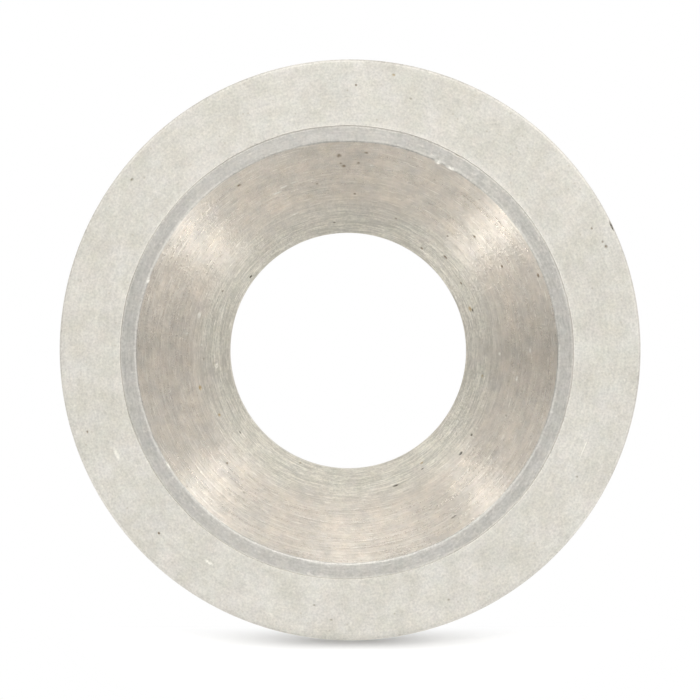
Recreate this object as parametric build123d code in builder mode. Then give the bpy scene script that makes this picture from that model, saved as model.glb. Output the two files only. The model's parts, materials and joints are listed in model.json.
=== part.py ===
"""Solid countersunk washer for an M8 countersunk screw, turned from bar in one piece.

The screw's 90 degree head drops into a conical seat. Round the seat's mouth runs a
narrow land, sunk a little below the front face. Millimetres, +Z up out of the front
face. The origin is on the bore's axis, in the plane of the back face it lies on.
"""

from build123d import *
import math
import os

# Disc
outer_diameter = 22.0
rim_round = 0.1  # tumbled round of both outer corners
# The bore, seat and land were turned in a later chucking than the rim, so the
# rim's own axis stands this far off theirs.
rim_offset_x = 0.117
rim_offset_y = 0.092

# Bore, clear of an M8 thread
bore_diameter = 9.0
bore_length = 1.4  # from the back face up to the foot of the cone
bore_back_chamfer = 0.15
bore_lip_round = 0.05

# Conical seat for the screw's head
seat_mouth_diameter = 16.0
seat_angle = 90.0  # included angle of the cone, in degrees
seat_mouth_round = 0.04

# Land: shallow flat-bottomed recess round the seat's mouth
land_width = 0.575
land_depth = 0.1
land_corner_round = 0.05  # left by the nose of the turning tool
front_edge_round = 0.03

# Worked out from the sizes above
bore_radius = bore_diameter / 2
seat_mouth_radius = seat_mouth_diameter / 2
seat_depth = (seat_mouth_radius - bore_radius) / math.tan(math.radians(seat_angle / 2))
land_radius = seat_mouth_radius + land_width
land_height = bore_length + seat_depth
thickness = land_height + land_depth


def rings_at(height, slack=0.001):
    """The washer's circular edges at this height, the smallest first."""
    rings = washer.edges().filter_by(GeomType.CIRCLE)
    level = rings.filter_by_position(Axis.Z, height - slack, height + slack)
    return level.sort_by(SortBy.RADIUS)


with BuildPart() as washer:
    with BuildSketch():
        with Locations((rim_offset_x, rim_offset_y)):
            Circle(outer_diameter / 2)
    extrude(amount=thickness)

    with Locations((0, 0, thickness)):
        CounterBoreHole(bore_radius, land_radius, land_depth)
    with Locations((0, 0, land_height)):
        CounterSinkHole(bore_radius, seat_mouth_radius, counter_sink_angle=seat_angle)

    # Corner at the foot of the recess, then the recess's edge with the front face
    fillet(rings_at(land_height)[-1], land_corner_round)
    fillet(rings_at(thickness)[0], front_edge_round)

    # Edges of the cone with the land and with the bore, and the bore's back edge
    fillet(rings_at(land_height)[0], seat_mouth_round)
    fillet(rings_at(bore_length)[0], bore_lip_round)
    chamfer(rings_at(0)[0], bore_back_chamfer)

    # Outer corners of the disc
    fillet(rings_at(0)[-1], rim_round)
    fillet(rings_at(thickness)[-1], rim_round)

washer.part.label = "washer"

os.makedirs("parts", exist_ok=True)
export_step(washer.part, "parts/washer.step")
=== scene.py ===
import json
import math
import random

import bmesh
import bpy
from mathutils import Matrix, Vector
from mathutils.kdtree import KDTree


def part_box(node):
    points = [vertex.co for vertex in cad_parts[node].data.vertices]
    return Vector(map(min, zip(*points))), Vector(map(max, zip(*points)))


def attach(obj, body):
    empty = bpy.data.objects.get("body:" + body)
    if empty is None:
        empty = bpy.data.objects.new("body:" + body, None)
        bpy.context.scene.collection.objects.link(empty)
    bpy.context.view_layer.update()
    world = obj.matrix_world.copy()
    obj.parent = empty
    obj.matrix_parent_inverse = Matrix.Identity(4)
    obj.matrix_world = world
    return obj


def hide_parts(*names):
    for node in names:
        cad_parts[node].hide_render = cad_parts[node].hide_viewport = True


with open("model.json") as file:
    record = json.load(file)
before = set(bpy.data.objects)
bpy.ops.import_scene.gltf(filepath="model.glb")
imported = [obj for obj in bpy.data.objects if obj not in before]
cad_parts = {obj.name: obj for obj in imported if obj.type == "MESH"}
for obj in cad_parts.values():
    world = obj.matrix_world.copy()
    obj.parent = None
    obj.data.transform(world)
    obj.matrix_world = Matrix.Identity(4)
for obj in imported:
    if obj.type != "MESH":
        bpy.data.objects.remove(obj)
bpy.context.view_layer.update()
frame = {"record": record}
random.seed(8)

# ---------------------------------------------------------------- the washer's body
# A countersunk washer for an M8 screw, one solid piece of stainless steel. It is turned
# from bar: the bore, the screw seat and the shallow land round it in one go, so they share
# an axis, and the rim on its own, a little off that axis. Then it is parted off and tumbled.

mm = 0.001
micron = 0.001 * mm
low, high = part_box("washer")
mounts = {mount["name"]: mount for mount in frame["record"]["mounts"]}
rim_centre = Vector(((low.x + high.x) / 2, (low.y + high.y) / 2, 0))
rim_radius = min(high.x - low.x, high.y - low.y) / 2
thickness = high.z - low.z
rim_round = 0.1 * mm

bore_radius = mounts["bore"]["dims"]["r_mm"] * mm
bore_back_chamfer = 0.15 * mm
bore_lip_round = 0.05 * mm

seat_mouth_radius = 8.0 * mm
seat_mouth_round = 0.09 * mm
land_height = mounts["screw_seat"]["pos_m"][2]
seat_foot_height = land_height - (seat_mouth_radius - bore_radius)
seat_rise = seat_foot_height - bore_radius  # the seat's height less its radius, all the way up
step_top_radius = 8.605 * mm
step_lean = 80  # degrees above the land, where the step up to the face is steepest
step_foot_round = 0.012 * mm
step_brow_round = 0.02 * mm
worn_and_lightened_face_width = 0.08 * mm

vertices_around = 384
TUMBLED, LAND, SEAT = range(3)  # the finishes, in the order of the material slots


def arc(centre, radius, start, end, steps):
    """Points of a round in the section, from one angle to another in degrees."""
    angles = [math.radians(start + (end - start) * k / steps) for k in range(steps + 1)]
    return [
        (centre[0] + radius * math.cos(angle), centre[1] + radius * math.sin(angle))
        for angle in angles
    ]


def between(start, end, steps):
    """Evenly spaced points strictly between two points of the section."""
    shares = [k / steps for k in range(1, steps)]
    return [
        (start[0] + (end[0] - start[0]) * share, start[1] + (end[1] - start[1]) * share)
        for share in shares
    ]


# The turning tool left these rings in the seat: radius, half width and depth in mm, and the
# angle in degrees about which the ring is deepest.
tool_marks = (
    (4.66, 0.020, 0.004, 10),
    (4.79, 0.016, 0.003, -30),
    (4.95, 0.022, 0.005, 0),
    (5.13, 0.018, 0.004, 200),
    (5.37, 0.020, 0.004, 20),
    (5.72, 0.026, 0.007, -90),
    (6.02, 0.028, 0.007, -80),
    (6.17, 0.018, 0.004, -105),
    (6.52, 0.026, 0.006, -95),
    (6.97, 0.024, 0.006, -85),
    (7.20, 0.022, 0.006, -100),
    (7.43, 0.024, 0.005, -75),
    (7.66, 0.018, 0.003, -90),
    (7.86, 0.018, 0.003, -95),
)

# The section is a closed loop: up the bore, up the seat, over the land and the front face,
# down the rim and back across the back face. Each of its points turns into one ring of the
# mesh: radius, height, share of the rim's offset, finish, and how bright a tone it takes: in
# part the bare metal of worn edges, in part painted light, which lifts the shade beside the
# step and paints highlights along the edges.
section = []


def add_points(points, finish, offset_from=0, offset_to=0, wear=0):
    """Add points to the section. Their share of the rim's offset runs from one to the other."""
    for k, (radius, height) in enumerate(points):
        share = offset_from + (offset_to - offset_from) * (k + 0.5) / len(points)
        section.append((radius, height, share, finish, wear))


half_turn = math.radians(45 / 2)  # half the turn from the bore to the seat, or seat to land
lip_turn = bore_lip_round * math.tan(half_turn)
lip = arc(
    (bore_radius + bore_lip_round, seat_foot_height - lip_turn),
    bore_lip_round, start=180, end=135, steps=4,
)
bore_bottom = (bore_radius, bore_back_chamfer)
add_points([bore_bottom] + between(bore_bottom, lip[0], steps=8), SEAT)
front_starts = len(section)
add_points(lip, SEAT)

mouth_turn = seat_mouth_round * math.tan(half_turn)
mouth = arc(
    (seat_mouth_radius + mouth_turn, land_height - seat_mouth_round),
    seat_mouth_round, start=135, end=90, steps=4,
)
# The seat's points are even, but for five across each of the tool's rings.
seat_radii = [radius for radius, height in between(lip[-1], mouth[0], steps=52)]
for radius, half_width, depth, deepest in tool_marks:
    clear = 1.2 * half_width * mm
    seat_radii = [other for other in seat_radii if abs(other - radius * mm) > clear]
    seat_radii += [(radius + half_width * step / 2) * mm for step in (-2, -1, 0, 1, 2)]
add_points([(radius, radius + seat_rise) for radius in sorted(seat_radii)], SEAT)
add_points(mouth[:1], SEAT)
# The bright tone on the mouth's round is worn metal and a painted highlight along the edge.
add_points(mouth[1:], LAND, wear=0.6)

lean = math.radians(step_lean)
sides = (step_foot_round + step_brow_round) * math.sin(lean)
drop = thickness - land_height - (step_foot_round + step_brow_round) * (1 - math.cos(lean))
step_width = sides + drop / math.tan(lean)
foot = arc(
    (step_top_radius - step_width, land_height + step_foot_round),
    step_foot_round, start=270, end=270 + step_lean, steps=6,
)
brow = arc(
    (step_top_radius, thickness - step_brow_round),
    step_brow_round, start=90 + step_lean, end=90, steps=6,
)
add_points(between(mouth[-1], foot[0], steps=7), LAND)
# Beside the step the bright tone is painted light: it lifts the shade that the step's wall casts
# on the land, and paints a highlight along the brow and the face beside it.
add_points(foot[:3], LAND, wear=0.65)
add_points(foot[3:] + brow, TUMBLED, wear=1.2)
worn_and_lightened_face = between(brow[-1], (step_top_radius + worn_and_lightened_face_width, thickness), steps=3)
add_points(worn_and_lightened_face, TUMBLED, wear=0.3)

front_rim = arc(
    (rim_radius - rim_round, thickness - rim_round), rim_round, start=90, end=0, steps=7
)
add_points(between(worn_and_lightened_face[-1], front_rim[0], steps=17), TUMBLED, 0, 1)
add_points(front_rim[:1], TUMBLED, 1, 1)
# The bright tone on the front rim's round is worn metal, and painted light that lifts the darker
# reflection along it.
add_points(front_rim[1:], TUMBLED, 1, 1, wear=0.9)
side_starts = len(section) - 1

back_rim = arc((rim_radius - rim_round, rim_round), rim_round, start=0, end=-90, steps=6)
back_bore = (bore_radius + bore_back_chamfer, 0)
add_points(between(front_rim[-1], back_rim[0], steps=8), TUMBLED, 1, 1)
back_starts = len(section)
add_points(back_rim, TUMBLED, 1, 1)
add_points(between(back_rim[-1], back_bore, steps=14) + [back_bore], TUMBLED, 1, 0)


def waviness(waves):
    """A smooth uneven run round the circle, about -1 to 1, from (count, size) of its waves."""
    phases = [random.uniform(0, 2 * math.pi) for wave in waves]
    return [
        sum(
            size * math.sin(count * 2 * math.pi * k / vertices_around + phase)
            for (count, size), phase in zip(waves, phases)
        )
        for k in range(vertices_around)
    ]


# Tumbling has dulled the two edges beside the land unevenly, and the tool's rings fade in
# and out on their way round. For each edge: its radius, how far beside it the wear reaches,
# and how far it moves the edge.
edge_waves = ((5, 0.3), (11, 0.3), (23, 0.3), (47, 0.25), (71, 0.2), (97, 0.15))
mark_waves = ((1, 0.5), (2, 0.4), (3, 0.3), (7, 0.2))
least_kept = 0.1  # of a tool ring's depth, opposite its deepest side
fading = 0.25
diagonal = math.sqrt(0.5)  # the share of a move square to the seat that goes out, and down
worn_edges = (
    (seat_mouth_radius, 0.12 * mm, 14 * micron, waviness(edge_waves)),
    (step_top_radius, 0.16 * mm, 10 * micron, waviness(edge_waves)),
)
mark_fades = [waviness(mark_waves) for mark in tool_marks]


def worn(radius, height, k):
    """A section point at step k of the circle, moved by the edges' wear and the tool marks."""
    at_radius, at_height = radius, height
    if height > seat_foot_height:
        for edge, width, size, waves in worn_edges:
            near = max(0, 1 - abs(radius - edge) / width)
            at_radius += size * waves[k] * near * near * (3 - 2 * near)
        for (mark, half_width, depth, deepest), fade in zip(tool_marks, mark_fades):
            beside = abs(radius - mark * mm) / (half_width * mm)
            if beside < 1:
                turn = 2 * math.pi * k / vertices_around - math.radians(deepest)
                kept = least_kept + (1 - least_kept) * ((1 + math.cos(turn)) / 2) ** 2
                cut = depth * mm * kept * (1 - fading + fading * fade[k])
                cut *= (1 + math.cos(math.pi * beside)) / 2
                at_radius += cut * diagonal
                at_height -= cut * diagonal
    return at_radius, at_height


vertices = []
for radius, height, share, finish, wear in section:
    for k in range(vertices_around):
        angle = 2 * math.pi * k / vertices_around
        at_radius, at_height = worn(radius, height, k)
        vertices.append(
            (
                rim_centre.x * share + at_radius * math.cos(angle),
                rim_centre.y * share + at_radius * math.sin(angle),
                at_height,
            )
        )

# The surface is also laid out flat, so that a map of it keeps the fine detail: the front is
# a large disc, the back a small one, and the rim's side and the bore are strips. A strip is
# given by its left end, its foot and its width, and a disc by its middle and its radius.
bore_strip = (0.01, 0.085, 0.4)
side_strip = (0.005, 0.005, 0.99)
front_disc = (0.405, 0.6, 0.393)
back_disc = (0.845, 0.245, 0.145)
reach = [0.0]
for here, after in zip(section, section[1:] + section[:1]):
    reach.append(reach[-1] + math.hypot(after[0] - here[0], after[1] - here[1]))
front_width = bore_radius + reach[side_starts] - reach[front_starts]
back_width = bore_radius + reach[-1] - reach[back_starts]


def laid_flat(strip, ring, k):
    """Place on the map of one corner of a face in this strip, on this ring at step k."""
    turn = k / vertices_around
    angle = 2 * math.pi * turn
    if strip < front_starts:
        left, bottom, width = bore_strip
        return left + width * turn, bottom + width * reach[ring] / (2 * math.pi * bore_radius)
    if strip < side_starts:
        middle_x, middle_y, size = front_disc
        out = size * (bore_radius + reach[ring] - reach[front_starts]) / front_width
        return middle_x + out * math.cos(angle), middle_y + out * math.sin(angle)
    if strip < back_starts:
        left, bottom, width = side_strip
        up = width * (reach[ring] - reach[side_starts]) / (2 * math.pi * rim_radius)
        return left + width * turn, bottom + up
    middle_x, middle_y, size = back_disc
    out = size * (bore_radius + reach[-1] - reach[ring]) / back_width
    return middle_x + out * math.cos(angle), middle_y + out * math.sin(angle)


faces = []
finishes = []
places = []
for i in range(len(section)):
    after = (i + 1) % len(section)
    for k in range(vertices_around):
        beside = (k + 1) % vertices_around
        faces.append(
            (
                i * vertices_around + k,
                after * vertices_around + k,
                after * vertices_around + beside,
                i * vertices_around + beside,
            )
        )
        finishes.append(section[after][3] if after else SEAT)
        for ring, step in ((i, k), (i + 1, k), (i + 1, k + 1), (i, k + 1)):
            places.extend(laid_flat(i, ring, step))
mesh = bpy.data.meshes.new("washer_body")
mesh.from_pydata(vertices, [], faces)
mesh.polygons.foreach_set("material_index", finishes)
mesh.polygons.foreach_set("use_smooth", [True] * len(faces))
mesh.uv_layers.new(name="OFBake").data.foreach_set("uv", places)

# Chips have scored the bore and the deep end of the seat, fading out further up.
scored_to_radius = 6.0 * mm
score_fade = 1.2 * mm
scored = []
for radius, height, share, finish, amount in section:
    score = max(0, min(1, (scored_to_radius - radius) / score_fade)) if finish == SEAT else 0
    scored.extend([score] * vertices_around)

# The step's bright tone is strongest at the back and towards the right: painted light, lifting
# the shade that the step's wall casts on the land there.
most_lightened_at = math.radians(60)
unevenness = 0.8
step_reach = 0.1 * mm
uneven = [
    1 + unevenness * math.cos(2 * math.pi * k / vertices_around - most_lightened_at)
    for k in range(vertices_around)
]
even = [1] * vertices_around
wear = []
for radius, height, share, finish, amount in section:
    on_step = abs(radius - step_top_radius) < step_reach
    wear.extend(amount * turn for turn in (uneven if on_step else even))
for name, of_vertices in (("wear", wear), ("scored", scored)):
    mesh.attributes.new(name, "FLOAT", "POINT").data.foreach_set("value", of_vertices)
mesh.update()

# Knocks and corrosion pits. Those on the seat and land are placed about the bore's axis and
# those on the face and rim about the rim's: radius and angle in mm and degrees, then the
# width and length in mm, the length running round the circle, the depth in mm, and the kind
# of soil in it. Each soil has a colour and how fully it covers the steel. The bright kind is
# no soil but a painted highlight, where a knock's facet or a scratch catches the light, and
# the grime and the black also paint the shade inside the deeper pits.
soils_and_painted_light = {
    "rust": (0.24, 0.18, 0.11, 0.85),
    # Grime, which also paints the shade inside the deeper pits, as the black does.
    "grime": (0.10, 0.085, 0.06, 0.85),
    "black": (0.05, 0.045, 0.04, 0.90),
    "faint": (0.30, 0.26, 0.18, 0.65),
    "tan": (0.50, 0.37, 0.18, 0.75),
    # Not soil: a painted highlight, the glint of a bare facet or a scratch.
    "bright": (0.94, 0.92, 0.85, 0.9),
    "bare": (0.5, 0.5, 0.5, 0.0),
}
seat_knocks = (
    (7.53, 123.0, 0.07, 0.10, 0.025, "rust"),
    (6.59, 113.8, 0.04, 0.22, 0.010, "bright"),
    (6.71, 110.9, 0.04, 0.20, 0.010, "bright"),
    (6.74, 107.4, 0.04, 0.20, 0.010, "bright"),
    (5.59, 110.8, 0.04, 0.20, 0.010, "bright"),
    (7.13, 82.5, 0.06, 0.10, 0.012, "bright"),
    (7.18, 86.6, 0.05, 0.07, 0.015, "rust"),
    (7.45, 92.4, 0.09, 0.11, 0.025, "rust"),
    (7.16, 92.0, 0.06, 0.07, 0.025, "rust"),
    (7.05, 91.1, 0.07, 0.11, 0.025, "rust"),
    (7.59, 84.5, 0.07, 0.09, 0.020, "rust"),
    (7.32, 63.2, 0.06, 0.07, 0.015, "faint"),
    (6.00, 87.4, 0.05, 0.06, 0.020, "rust"),
    (6.48, 100.3, 0.05, 0.06, 0.020, "rust"),
    (4.92, 96.0, 0.05, 0.06, 0.025, "grime"),
    (5.37, 70.0, 0.05, 0.06, 0.020, "rust"),
    (4.82, 54.3, 0.07, 0.07, 0.020, "rust"),
    (5.16, 43.9, 0.06, 0.11, 0.025, "rust"),
    (5.80, 49.0, 0.05, 0.05, 0.020, "rust"),
    (6.51, 42.2, 0.06, 0.07, 0.020, "rust"),
    (6.70, 29.0, 0.06, 0.08, 0.025, "rust"),
    (7.80, 22.0, 0.08, 0.10, 0.025, "rust"),
    (5.03, 31.0, 0.06, 0.07, 0.015, "rust"),
    (4.92, 19.0, 0.13, 0.12, 0.030, "tan"),
    (5.00, 18.2, 0.06, 0.09, 0.030, "grime"),
    (5.21, 349.5, 0.06, 0.08, 0.015, "tan"),
    (6.94, 0.5, 0.06, 0.11, 0.012, "bright"),
    (5.78, 359.2, 0.06, 0.07, 0.012, "bright"),
    (6.51, 351.0, 0.06, 0.13, 0.012, "bright"),
    (6.49, 337.9, 0.05, 0.05, 0.020, "faint"),
    (5.68, 326.0, 0.05, 0.06, 0.025, "grime"),
    (5.79, 317.9, 0.09, 0.10, 0.035, "black"),
    (5.30, 302.4, 0.06, 0.07, 0.025, "grime"),
    (5.10, 303.5, 0.06, 0.09, 0.015, "tan"),
    (5.42, 289.7, 0.06, 0.14, 0.030, "grime"),
    (7.43, 302.9, 0.045, 0.15, 0.020, "grime"),
    (4.63, 247.0, 0.05, 0.05, 0.015, "faint"),
    (6.62, 233.7, 0.06, 0.08, 0.020, "faint"),
    (6.23, 222.8, 0.05, 0.05, 0.020, "rust"),
    (5.13, 217.1, 0.06, 0.07, 0.025, "grime"),
    (5.45, 206.4, 0.07, 0.08, 0.015, "tan"),
    (5.77, 193.8, 0.12, 0.12, 0.020, "tan"),
    (5.06, 185.4, 0.12, 0.22, 0.060, "bare"),
    (5.48, 183.0, 0.05, 0.06, 0.025, "faint"),
    (5.56, 177.4, 0.05, 0.06, 0.012, "bright"),
    (6.14, 173.5, 0.05, 0.05, 0.012, "bright"),
    (5.81, 166.4, 0.08, 0.16, 0.012, "bright"),
    (5.28, 154.3, 0.05, 0.05, 0.020, "rust"),
    (4.66, 142.5, 0.07, 0.08, 0.030, "grime"),
)
land_knocks = (
    (8.00, 64.6, 0.11, 0.15, 0.050, "bright"),
    (8.01, 60.9, 0.10, 0.24, 0.060, "bright"),
    (8.00, 76.0, 0.06, 0.12, 0.030, "bare"),
    (8.01, 212.0, 0.04, 0.16, 0.030, "bright"),
    (8.00, 160.0, 0.07, 0.14, 0.025, "bright"),
    (8.58, 64.2, 0.06, 0.10, 0.040, "bright"),
    (8.57, 60.5, 0.05, 0.26, 0.040, "bare"),
)
face_knocks = (
    (10.48, 142.0, 0.07, 0.08, 0.020, "faint"),
    (10.03, 88.7, 0.045, 0.05, 0.020, "rust"),
    (10.54, 81.0, 0.06, 0.08, 0.015, "tan"),
    (9.78, 76.4, 0.05, 0.06, 0.015, "faint"),
    (10.24, 26.7, 0.045, 0.05, 0.015, "rust"),
    (10.45, 22.0, 0.06, 0.07, 0.020, "rust"),
    (10.40, 23.2, 0.045, 0.05, 0.015, "rust"),
    (9.84, 330.8, 0.05, 0.05, 0.015, "faint"),
    (9.61, 337.2, 0.035, 0.50, 0.006, "bright"),
    (10.17, 291.5, 0.05, 0.06, 0.015, "faint"),
    (10.25, 266.0, 0.05, 0.06, 0.020, "faint"),
    (9.76, 262.0, 0.05, 0.06, 0.020, "faint"),
    (10.03, 223.8, 0.05, 0.06, 0.020, "rust"),
    (10.42, 197.3, 0.05, 0.06, 0.015, "rust"),
    (9.67, 204.0, 0.08, 0.30, 0.010, "bright"),
    (9.64, 236.3, 0.08, 0.22, 0.012, "bright"),
)
rim_knocks = ((10.96, 25.3, 0.05, 0.24, 0.045, "grime"),)

knocks = []
up = Vector((0, 0, 1))
for surface, rows in (
    ("seat", seat_knocks), ("land", land_knocks), ("face", face_knocks), ("rim", rim_knocks)
):
    for radius, angle, width, length, depth, soil in rows:
        turn = math.radians(angle)
        out = Vector((math.cos(turn), math.sin(turn), 0))
        place = out * radius * mm
        normal = up
        if surface == "seat":
            place.z = radius * mm + seat_rise
            normal = diagonal * (up - out)
        elif surface == "land":
            place.z = land_height
        else:
            place += rim_centre
            place.z = thickness
        if surface == "rim":
            place.z -= rim_round / 4
            normal = diagonal * (up + out)
        coarse = surface in ("face", "rim")
        knocks.append(
            (place, normal, up.cross(out), width * mm, length * mm, depth * mm, soil, coarse)
        )


def offsets(point, place, along):
    """Distances of a point from a knock's middle, along the circle and square to it."""
    away = point - place
    beside = away.dot(along)
    return beside, (away - beside * along).length


# The mesh is made finer round each knock, and pressed in there. For the fine faces of the
# seat and land and the coarse ones of the face and rim: how far past the knock the mesh is
# cut up, and how many cuts go into each edge.
knock_cuts = {False: (0.05 * mm, 3), True: (0.09 * mm, 5)}
soil_reach = 1.1  # how far the soil spreads, where 1 is the edge of the knock
soil_fade = 1.5  # and how fast it thickens inwards from there
bm = bmesh.new()
bm.from_mesh(mesh)
bm.faces.ensure_lookup_table()
face_tree = KDTree(len(bm.faces))
for face in bm.faces:
    face_tree.insert(face.calc_center_median(), face.index)
face_tree.balance()
fine_edges = {False: set(), True: set()}
for place, normal, along, width, length, depth, soil, coarse in knocks:
    margin, cuts = knock_cuts[coarse]
    for centre, index, distance in face_tree.find_range(place, length + width + margin):
        beside, across = offsets(centre, place, along)
        if abs(beside) < length + margin and across < width + margin:
            fine_edges[coarse].update(bm.faces[index].edges)
for coarse, (margin, cuts) in knock_cuts.items():
    bmesh.ops.subdivide_edges(bm, edges=list(fine_edges[coarse]), cuts=cuts, use_grid_fill=True)

bm.verts.ensure_lookup_table()
soil_layer = bm.verts.layers.float_color.new("soil")
vertex_tree = KDTree(len(bm.verts))
for index, vertex in enumerate(bm.verts):
    vertex[soil_layer] = (0, 0, 0, 0)
    vertex_tree.insert(vertex.co, index)
vertex_tree.balance()
for place, normal, along, width, length, depth, soil, coarse in knocks:
    slant = random.uniform(0.7, 1.3)
    red, green, blue, cover = soils_and_painted_light[soil]
    for point, index, distance in vertex_tree.find_range(place, 1.5 * length + width):
        beside, across = offsets(point, place, along)
        spread = math.hypot(beside / length, across / (width * slant))
        if spread < soil_reach:
            vertex = bm.verts[index]
            press = max(0, 1 - spread * spread) ** 2
            vertex.co -= depth * press * normal
            amount = cover * min(1, soil_fade * (soil_reach - spread))
            if amount > vertex[soil_layer][3]:
                vertex[soil_layer] = (red, green, blue, amount)
bm.to_mesh(mesh)
bm.free()
body = bpy.data.objects.new("washer_body", mesh)
bpy.context.scene.collection.objects.link(body)


def add(tree, kind, inputs=None, **settings):
    """Add a shader node: its settings, then its inputs as plain values or as links."""
    made = tree.nodes.new("ShaderNode" + kind)
    for name, value in settings.items():
        setattr(made, name, value)
    for socket, value in (inputs or {}).items():
        if isinstance(value, bpy.types.NodeSocket):
            tree.links.new(value, made.inputs[socket])
        else:
            made.inputs[socket].default_value = value
    return made


def calculate(tree, operation, *values):
    """The output of one Math node."""
    return add(tree, "Math", dict(enumerate(values)), operation=operation).outputs[0]


def new_group(name, inputs, outputs):
    """A node group with named inputs (and their values) and outputs, and its two end nodes."""
    group = bpy.data.node_groups.new(name, "ShaderNodeTree")
    for socket, value in inputs.items():
        made = group.interface.new_socket(socket, in_out="INPUT", socket_type="NodeSocketFloat")
        made.default_value = value
    for socket, kind in outputs.items():
        group.interface.new_socket(socket, in_out="OUTPUT", socket_type="NodeSocket" + kind)
    return group, group.nodes.new("NodeGroupInput").outputs, group.nodes.new("NodeGroupOutput")


# Marks that run round the axis, as the turning tool and the tumbling leave them: streaks so
# many to the radian along the circle, and so many to the millimetre across it.
turned, asked, given = new_group(
    "turned streaks",
    {"Per radian": 3, "Per mm": 10, "Breakup": 0.5, "Lean": 0},
    {"Streaks": "Float", "Normal": "Vector"},
)
place = add(turned, "TexCoord").outputs["Object"]
flat = add(turned, "VectorMath", {0: place, 1: (1, 1, 0)}, operation="MULTIPLY").outputs[0]
outward = add(turned, "VectorMath", {0: flat}, operation="NORMALIZE").outputs[0]
radius = add(turned, "VectorMath", {0: flat}, operation="LENGTH").outputs["Value"]
rise = add(turned, "SeparateXYZ", {0: place}).outputs["Z"]
section_mm = calculate(turned, "DIVIDE", calculate(turned, "ADD", radius, rise), mm)
across = add(
    turned, "CombineXYZ", {"Z": calculate(turned, "MULTIPLY", section_mm, asked["Per mm"])}
).outputs[0]
along = add(
    turned, "VectorMath", {0: outward, "Scale": asked["Per radian"]}, operation="SCALE"
).outputs[0]
streak_place = add(turned, "VectorMath", {0: along, 1: across}, operation="ADD").outputs[0]
streaks = add(
    turned,
    "TexNoise",
    {"Vector": streak_place, "Scale": 1, "Detail": 2, "Roughness": asked["Breakup"]},
).outputs[0]
turned.links.new(streaks, given.inputs["Streaks"])
round_about = add(
    turned, "VectorMath", {0: (0, 0, 1), 1: outward}, operation="CROSS_PRODUCT"
).outputs[0]
tilt = calculate(
    turned, "MULTIPLY", calculate(turned, "SUBTRACT", streaks, 0.5), asked["Lean"]
)
tilted = add(turned, "VectorMath", {0: round_about, "Scale": tilt}, operation="SCALE").outputs[0]
plain = add(turned, "NewGeometry").outputs["Normal"]
leaning = add(turned, "VectorMath", {0: plain, 1: tilted}, operation="ADD").outputs[0]
normal = add(turned, "VectorMath", {0: leaning}, operation="NORMALIZE").outputs[0]
turned.links.new(normal, given.inputs["Normal"])

# Grain without direction: broad clouds where the dulling is uneven, and fine grain in them.
grained, asked, given = new_group(
    "steel grain",
    {"Cloud size": 1.0, "Grain size": 0.1},
    {"Clouds": "Float", "Blotches": "Float", "Grain": "Float", "Film": "Color"},
)
raggedness = 0.65
place = add(grained, "TexCoord").outputs["Object"]
for output, size, share, detail, seed in (
    ("Clouds", "Cloud size", 1.0, 3, 3.7),
    ("Blotches", "Cloud size", 0.4, 4, 5.2),
    ("Grain", "Grain size", 1.0, 2, 9.1),
    ("Film", "Cloud size", 0.6, 5, 6.3),
):
    scale = calculate(grained, "DIVIDE", 1 / (share * mm), asked[size])
    cells = add(
        grained,
        "TexNoise",
        {"Vector": place, "W": seed, "Scale": scale, "Detail": detail, "Roughness": raggedness},
        noise_dimensions="4D",
    ).outputs["Color" if output == "Film" else 0]
    grained.links.new(cells, given.inputs[output])

# Tiny pits, scattered: a share of the cells of a pattern has one, each with its own darkness.
pitted, asked, given = new_group(
    "fine pits",
    {"Spacing": 0.3, "Share": 0.2, "Size": 0.1},
    {"Pits": "Float", "Shade": "Float"},
)
place = add(pitted, "TexCoord").outputs["Object"]
scale = calculate(pitted, "DIVIDE", 1 / mm, asked["Spacing"])
cells = add(pitted, "TexVoronoi", {"Vector": place, "Scale": scale})
chance = add(pitted, "SeparateColor", {0: cells.outputs["Color"]})
chosen = calculate(pitted, "LESS_THAN", chance.outputs[0], asked["Share"])
middle = add(
    pitted,
    "MapRange",
    {
        "Value": cells.outputs["Distance"],
        "From Min": 0,
        "From Max": asked["Size"],
        "To Min": 1,
        "To Max": 0,
    },
    interpolation_type="SMOOTHSTEP",
).outputs[0]
pitted.links.new(calculate(pitted, "MULTIPLY", chosen, middle), given.inputs["Pits"])
pitted.links.new(chance.outputs[1], given.inputs["Shade"])


def placed(tree, group, values):
    """Place a node group in a material with its own values, and give its outputs."""
    made = tree.nodes.new("ShaderNodeGroup")
    made.node_tree = group
    for socket, value in values.items():
        made.inputs[socket].default_value = value
    return made.outputs


def blended(tree, share, first, second):
    """A colour between two others, each a plain colour or a link."""
    made = add(tree, "Mix", {0: share}, data_type="RGBA")
    for socket, colour in ((6, first), (7, second)):
        if isinstance(colour, bpy.types.NodeSocket):
            tree.links.new(colour, made.inputs[socket])
        else:
            made.inputs[socket].default_value = (*colour, 1)
    return made.outputs[2]


def varied(tree, level, *parts):
    """A level that each (source, amount) moves up and down, the source being about 0.5."""
    for source, amount in parts:
        swing = calculate(tree, "SUBTRACT", source, 0.5)
        level = calculate(tree, "MULTIPLY_ADD", swing, amount, level)
    return level


# What all the finishes share: the faint colours of the film on the steel, as a tint about an
# even base, the dark flecks in the fine pits and the pale ones, which are painted sparkle,
# the glints along the streaks, which are painted highlights, and the bright tone of worn
# edges, which is bare metal and in places painted light.
film_tint = (0.09, 0.0, 0.11)
film_base = (0.955, 1.0, 0.945)
dark_fleck = (0.36, 0.30, 0.20)
painted_sparkle_fleck = (0.82, 0.80, 0.75)
painted_glint_tone = (0.90, 0.86, 0.78)
worn_and_painted_light_tone = (0.84, 0.81, 0.75)
# How softly the clouds, scores and painted glints set in, how broken the painted glints are,
# and how much rougher the scores and the soil are. Fine pits darker than the sunk shade are
# sunk in, and the paler ones stand up a little.
cloud_start = 0.3
cloud_end = 0.7
score_softness = 0.6
glint_softness = 0.12
glint_breakup = 0.3
score_roughness = 0.12
soil_roughness = 0.2
sunk_shade = 0.7
bump_depth = 2 * micron


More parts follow.
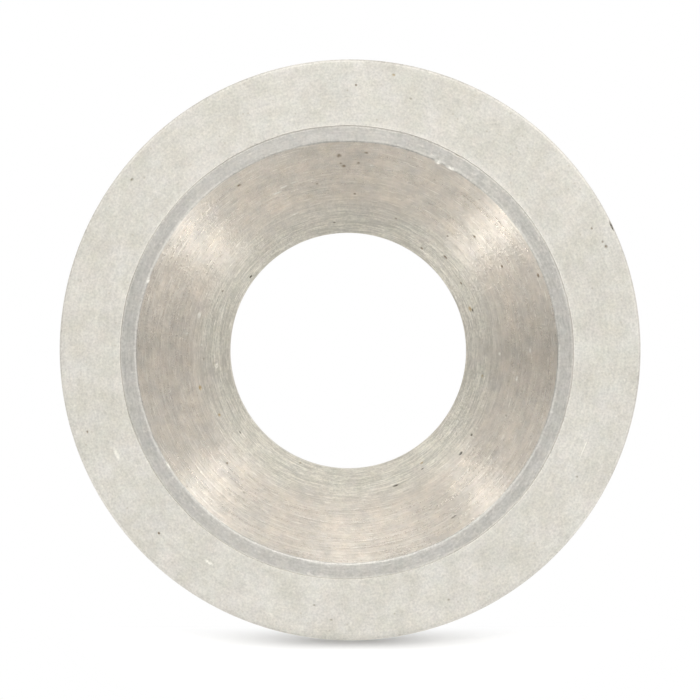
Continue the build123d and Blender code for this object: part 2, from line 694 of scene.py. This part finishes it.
def steel(
    name, pale, dull, cloud_size, grain_size, long_streaks, short_streaks, shades,
    darkest, roughness, roughness_shades, anisotropic, pits, glints, relief,
    scored_tone=(1, 1, 1), scored_shades=(0, 0, 0, 0),
):
    """A steel finish: two tones in clouds, streaks round the axis, grain, pits and soil, with
    painted glints, sparkle and brightened edges as painted light.
    """
    material = bpy.data.materials.new(name)
    material.use_nodes = True
    tree = material.node_tree
    grain = placed(tree, grained, {"Cloud size": cloud_size, "Grain size": grain_size})
    long_ones = placed(tree, turned, dict(zip(("Per radian", "Per mm", "Lean"), long_streaks)))
    short_ones = placed(tree, turned, dict(zip(("Per radian", "Per mm", "Lean"), short_streaks)))
    spacing, share, size, pit_cover = pits
    holes = placed(tree, pitted, {"Spacing": spacing, "Share": share, "Size": size})
    per_radian, per_mm, from_level, glint_cover = glints
    glint_ones = placed(
        tree, turned, {"Per radian": per_radian, "Per mm": per_mm, "Breakup": glint_breakup}
    )
    sources = (
        long_ones["Streaks"], short_ones["Streaks"], grain["Grain"], grain["Blotches"]
    )

    clouds = add(
        tree,
        "MapRange",
        {"Value": grain["Clouds"], "From Min": cloud_start, "From Max": cloud_end},
    ).outputs[0]
    scored = add(tree, "Attribute", attribute_name="scored").outputs["Fac"]
    patches = varied(tree, 0.8, (grain["Clouds"], -3.0))
    scored = calculate(tree, "MULTIPLY", scored, patches)
    scored = add(tree, "MapRange", {"Value": scored, "From Max": score_softness}).outputs[0]
    in_scores = varied(tree, 0.0, *zip(sources, scored_shades))
    in_scores = calculate(tree, "MULTIPLY", scored, in_scores)
    shade = calculate(tree, "ADD", in_scores, varied(tree, 1.0, *zip(sources, shades)))
    shade = calculate(tree, "MAXIMUM", shade, darkest)
    tone = blended(tree, clouds, pale, dull)
    tone = blended(tree, scored, tone, scored_tone)
    film = add(
        tree,
        "VectorMath",
        {0: grain["Film"], 1: film_tint, 2: film_base},
        operation="MULTIPLY_ADD",
    ).outputs[0]
    tone = add(tree, "VectorMath", {0: tone, 1: film}, operation="MULTIPLY").outputs[0]
    tone = add(tree, "VectorMath", {0: tone, "Scale": shade}, operation="SCALE").outputs[0]
    # The fine pits' flecks run from dark specks to pale ones, and the pale ones are painted
    # sparkle.
    fleck_and_painted_sparkle = blended(tree, holes["Shade"], dark_fleck, painted_sparkle_fleck)
    tone = blended(tree, calculate(tree, "MULTIPLY", holes["Pits"], pit_cover), tone, fleck_and_painted_sparkle)
    # Painted glints: bright dashes along the streaks, painted into the colour as painted
    # highlights.
    painted_glint = add(
        tree,
        "MapRange",
        {
            "Value": glint_ones["Streaks"],
            "From Min": from_level,
            "From Max": from_level + glint_softness,
            "To Max": glint_cover,
        },
    ).outputs[0]
    tone = blended(tree, painted_glint, tone, painted_glint_tone)
    # The bright tone of worn metal, which is also painted light: lifted shade and painted edge
    # highlights.
    wear = add(tree, "Attribute", attribute_name="wear").outputs["Fac"]
    patchy_wear_and_light = varied(tree, 0.5, (long_ones["Streaks"], 1.5), (grain["Grain"], 1.5))
    patchy_wear_and_light = calculate(tree, "MAXIMUM", patchy_wear_and_light, 0.0)
    wear = calculate(tree, "MULTIPLY", wear, patchy_wear_and_light)
    tone = blended(tree, wear, tone, worn_and_painted_light_tone)
    # Soil from the knocks, with painted pit shade and painted highlights among it.
    soil = add(tree, "Attribute", attribute_name="soil")
    uneven_soil = varied(tree, 0.9, (grain["Grain"], 2.5))
    cover = calculate(tree, "MULTIPLY", soil.outputs["Alpha"], uneven_soil)
    cover = calculate(tree, "MINIMUM", calculate(tree, "MAXIMUM", cover, 0.0), 1.0)
    colour = blended(tree, cover, tone, soil.outputs["Color"])

    rough = varied(tree, roughness, *zip(sources, roughness_shades))
    rough = calculate(tree, "MULTIPLY_ADD", scored, score_roughness, rough)
    rough = calculate(tree, "MULTIPLY_ADD", cover, soil_roughness, rough)
    height = varied(tree, 0.0, *zip(sources, relief))
    deeper_scores = varied(tree, 1.5, (scored, 1.0))
    height = calculate(tree, "MULTIPLY", height, deeper_scores)
    pressed = calculate(tree, "SUBTRACT", holes["Shade"], sunk_shade)
    height = calculate(tree, "MULTIPLY_ADD", holes["Pits"], pressed, height)
    leaning = add(
        tree, "VectorMath", {0: long_ones["Normal"], 1: short_ones["Normal"]}, operation="ADD"
    ).outputs[0]
    leaning = add(tree, "VectorMath", {0: leaning}, operation="NORMALIZE").outputs[0]
    bump = add(tree, "Bump", {"Height": height, "Distance": bump_depth, "Normal": leaning})

    shader = tree.nodes["Principled BSDF"]
    shader.inputs["Metallic"].default_value = 1
    shader.inputs["Anisotropic"].default_value = anisotropic
    shader.inputs["Anisotropic Rotation"].default_value = 0.25
    tangent = add(tree, "Tangent", direction_type="RADIAL", axis="Z")
    for output, socket in (
        (colour, "Base Color"),
        (rough, "Roughness"),
        (bump.outputs[0], "Normal"),
        (tangent.outputs[0], "Tangent"),
    ):
        tree.links.new(output, shader.inputs[socket])
    return material


# The face, the rim and the back are dulled by the tumbling to a pale, nearly even grey, with
# a little of the lathe's grain still showing round the axis.
tumbled_steel = steel(
    "tumbled_steel",
    pale=(0.709, 0.687, 0.634),
    dull=(0.608, 0.586, 0.523),
    cloud_size=1.1,
    grain_size=0.085,
    long_streaks=(4, 6, 0.0),
    short_streaks=(30, 12, 0.0),
    shades=(0.10, 0.22, 0.60, 0.05),
    darkest=0.8,
    roughness=0.55,
    roughness_shades=(0.0, 0.1, 0.1, 0.0),
    anisotropic=0.2,
    pits=(0.22, 0.30, 0.25, 0.5),
    glints=(60, 8, 0.66, 0.3),
    relief=(0.0, 0.7, 1.2, 0.0),
)
# The land is turned fine and flat, a darker and cooler grey.
land_steel = steel(
    "land_steel",
    pale=(0.526, 0.507, 0.466),
    dull=(0.462, 0.450, 0.418),
    cloud_size=0.8,
    grain_size=0.10,
    long_streaks=(5, 9, 0.0),
    short_streaks=(30, 14, 0.1),
    shades=(0.30, 0.45, 0.65, 0.25),
    darkest=0.85,
    roughness=0.4,
    roughness_shades=(0.1, 0.1, 0.1, 0.0),
    anisotropic=0.6,
    pits=(0.25, 0.15, 0.22, 0.5),
    glints=(40, 9, 0.66, 0.3),
    relief=(0.3, 1.0, 0.6, 0.0),
)
# The seat and the bore keep the tool's rings, a warmer and shinier grey with fine streaks.
turned_steel = steel(
    "turned_steel",
    pale=(0.754, 0.688, 0.604),
    dull=(0.609, 0.578, 0.529),
    cloud_size=0.9,
    grain_size=0.10,
    long_streaks=(2.2, 6, 0.1),
    short_streaks=(7, 22, 0.2),
    shades=(0.30, 0.08, 0.10, 0.55),
    darkest=0.85,
    roughness=0.28,
    roughness_shades=(0.03, 0.03, 0.03, 0.0),
    anisotropic=0.88,
    pits=(0.24, 0.30, 0.24, 0.45),
    glints=(12, 15, 0.62, 0.8),
    relief=(2.5, 5.0, 6.5, 1.0),
    scored_tone=(0.652, 0.625, 0.552),
    scored_shades=(0.3, 1.0, 0.6, 0.0),
)
for material in (tumbled_steel, land_steel, turned_steel):
    mesh.materials.append(material)
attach(body, "root")
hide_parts("washer")

# ---------------------------------------------------------------- the table top
# A wide sheet of smooth, matt white paper, which the washer lies on. It is seen as plain
# white, but for a crescent close in front of the washer. There the paper is as bright as the
# lamp over the table makes it, and the washer's short shadow falls on it.

paper_side = 4.0
paper_gap = 10 * micron
paper_tone = (0.95, 0.95, 0.95, 1)
crescent_back = (low.y - 0.25 * mm, low.y + 0.35 * mm)  # along y, where it fades out
crescent_front = (12.5 * mm, 16.0 * mm)  # the same, outwards from the washer's axis


def seen(tree):
    """1 for what the camera sees, straight or in a mirror, and 0 for light on its way."""
    path = add(tree, "LightPath").outputs
    straight = calculate(tree, "MAXIMUM", path["Is Camera Ray"], path["Is Glossy Ray"])
    return calculate(tree, "MAXIMUM", straight, path["Is Transmission Ray"])


def flat_sheet(name, width, height):
    """A flat rectangle about its own middle."""
    x, y = width / 2, height / 2
    made = bpy.data.meshes.new(name)
    made.from_pydata([(-x, -y, 0), (x, -y, 0), (x, y, 0), (-x, y, 0)], [], [(0, 1, 2, 3)])
    sheet = bpy.data.objects.new(name, made)
    bpy.context.scene.collection.objects.link(sheet)
    return sheet


paper = flat_sheet("white_paper", paper_side, paper_side)
paper.location.z = low.z - paper_gap
material = bpy.data.materials.new("white_paper")
material.use_nodes = True
tree = material.node_tree
tree.nodes.clear()
diffuse = add(tree, "BsdfDiffuse", {"Color": paper_tone}).outputs[0]
place = add(tree, "TexCoord").outputs["Object"]
lit_behind = add(
    tree,
    "MapRange",
    {
        "Value": add(tree, "SeparateXYZ", {0: place}).outputs["Y"],
        "From Min": crescent_back[0],
        "From Max": crescent_back[1],
    },
    interpolation_type="SMOOTHSTEP",
).outputs[0]
out = add(tree, "VectorMath", {0: place}, operation="LENGTH").outputs["Value"]
lit_away = add(
    tree,
    "MapRange",
    {"Value": out, "From Min": crescent_front[0], "From Max": crescent_front[1]},
    interpolation_type="SMOOTHSTEP",
).outputs[0]
lit = calculate(tree, "MAXIMUM", lit_behind, lit_away)
glow = add(tree, "Emission", {"Strength": 1.0}).outputs[0]
bright = add(tree, "MixShader", {0: lit, 1: diffuse, 2: glow}).outputs[0]
mix = add(tree, "MixShader", {0: seen(tree), 1: diffuse, 2: bright}).outputs[0]
add(tree, "OutputMaterial", {"Surface": mix})
paper.data.materials.append(material)

# ---------------------------------------------------------------- the room and its lamps
# A tent of white cloth. Five tall narrow lamps and four broad panels stand round it, and four
# grey cards deepen it to the left, right and front: all of them show only in the steel. One
# long lamp hangs over the table for the shadow on the paper.

tent_tone = (0.8, 0.8, 0.8, 1)
lamp_distance = 0.5
brightness_power = 4  # watts a square metre that make a lamp as bright as white
strip_elevation = 24
strip_width = 0.035
strip_height = 0.38
card_distance = 0.45
card_width = 0.34
card_height = 0.26
card_core = 0.2  # the evenly dark part of a card, as a share of its half width

world = bpy.data.worlds.new("white_tent")
bpy.context.scene.world = world
world.use_nodes = True
tree = world.node_tree
tree.nodes.clear()
background = add(tree, "Background", {"Color": tent_tone, "Strength": seen(tree)}).outputs[0]
add(tree, "OutputWorld", {"Surface": background})

middle = Vector((rim_centre.x, rim_centre.y, thickness))


def face_middle(thing, azimuth, elevation, distance):
    """Put a thing this far from the washer's middle, in this direction, turned towards it."""
    turn, tip = math.radians(azimuth), math.radians(elevation)
    away = Vector((math.cos(tip) * math.cos(turn), math.cos(tip) * math.sin(turn), math.sin(tip)))
    thing.location = middle + distance * away
    thing.rotation_euler = (-away).to_track_quat("-Z", "Y").to_euler()


def soft_lamp(name, azimuth, elevation, width, height, level):
    """A rectangular lamp as bright as this level, where 1 is white."""
    light = bpy.data.lights.new(name, "AREA")
    light.shape = "RECTANGLE"
    light.size = width
    light.size_y = height
    light.energy = brightness_power * level * width * height
    lamp = bpy.data.objects.new(name, light)
    bpy.context.scene.collection.objects.link(lamp)
    face_middle(lamp, azimuth, elevation, lamp_distance)
    return lamp


for name, azimuth, level in (
    ("strip_back_left", 135, 2.50),
    ("strip_back", 110, 0.74),
    ("strip_back_right", 43, 2.84),
    ("strip_front_right", -39, 3.31),
    ("strip_front_left", -140, 3.62),
):
    strip = soft_lamp(name, azimuth, strip_elevation, strip_width, strip_height, level)
    strip.visible_diffuse = False
for name, azimuth, elevation, width, height, level in (
    ("overhead", 90, 68, 0.30, 0.24, 1.55),
    ("side_panel", 0, 68, 0.30, 0.24, 0.37),
    ("back_panel", 90, 12, 0.22, 0.20, 0.66),
    ("back_right_panel", 60, 12, 0.22, 0.20, 0.40),
):
    panel = soft_lamp(name, azimuth, elevation, width, height, level)
    panel.visible_diffuse = False
# This one lights the paper from nearly above and casts the washer's short shadow.
table_lamp = soft_lamp(
    "table_lamp", azimuth=90, elevation=85.4, width=0.75, height=0.03, level=38
)
table_lamp.visible_glossy = False


def grey_card(name, azimuth, elevation, darkness):
    """A card that reflections show as a soft-edged dark patch in the tent."""
    card = flat_sheet(name, card_width, card_height)
    face_middle(card, azimuth, elevation, card_distance)
    card.visible_camera = False
    card.visible_diffuse = False
    card.visible_shadow = False
    material = bpy.data.materials.new(name)
    material.use_nodes = True
    tree = material.node_tree
    tree.nodes.clear()
    place = add(tree, "TexCoord").outputs["Object"]
    share = add(
        tree, "VectorMath", {0: place, 1: (card_width / 2, card_height / 2, 1)}, operation="DIVIDE"
    ).outputs[0]
    out = add(tree, "VectorMath", {0: share}, operation="LENGTH").outputs["Value"]
    cover = add(
        tree,
        "MapRange",
        {"Value": out, "From Min": card_core, "From Max": 1.0, "To Min": darkness, "To Max": 0.0},
        interpolation_type="SMOOTHSTEP",
    ).outputs[0]
    clear = add(tree, "BsdfTransparent").outputs[0]
    dark = add(tree, "Emission", {"Strength": 0.0}).outputs[0]
    mix = add(tree, "MixShader", {0: cover, 1: clear, 2: dark}).outputs[0]
    add(tree, "OutputMaterial", {"Surface": mix})
    card.data.materials.append(material)


for name, azimuth, elevation, darkness in (
    ("card_left", 180, 12, 0.96),
    ("card_right", 0, 12, 0.54),
    ("card_front", -90, 12, 0.46),
    ("card_front_high", -90, 62, 0.73),
):
    grey_card(name, azimuth, elevation, darkness)

# ---------------------------------------------------------------- the camera
# It looks down on the washer from half a metre above the face, about a degree off the axis
# towards the back and the right, and is turned so that the object's x axis runs level.

camera_height = 0.5
camera_right = 0.0054
camera_back = 0.0079
view_in_radii = 2.4088  # the width of the view, in radii of the rim
view_width = view_in_radii * rim_radius
camera = bpy.data.objects.new("camera", bpy.data.cameras.new("camera"))
bpy.context.scene.collection.objects.link(camera)
camera.data.sensor_width = 36
camera.data.lens = camera.data.sensor_width * camera_height / view_width
camera.data.clip_start = 0.01
place = middle + Vector((camera_right, camera_back, camera_height))
look = (middle - place).normalized()
right = (Vector((1, 0, 0)) - look.x * look).normalized()
upward = right.cross(look)
turned_to = Matrix((right, upward, -look)).transposed().to_4x4()
camera.matrix_world = Matrix.Translation(place) @ turned_to
bpy.context.scene.camera = camera
bpy.context.scene.view_settings.view_transform = "Standard"
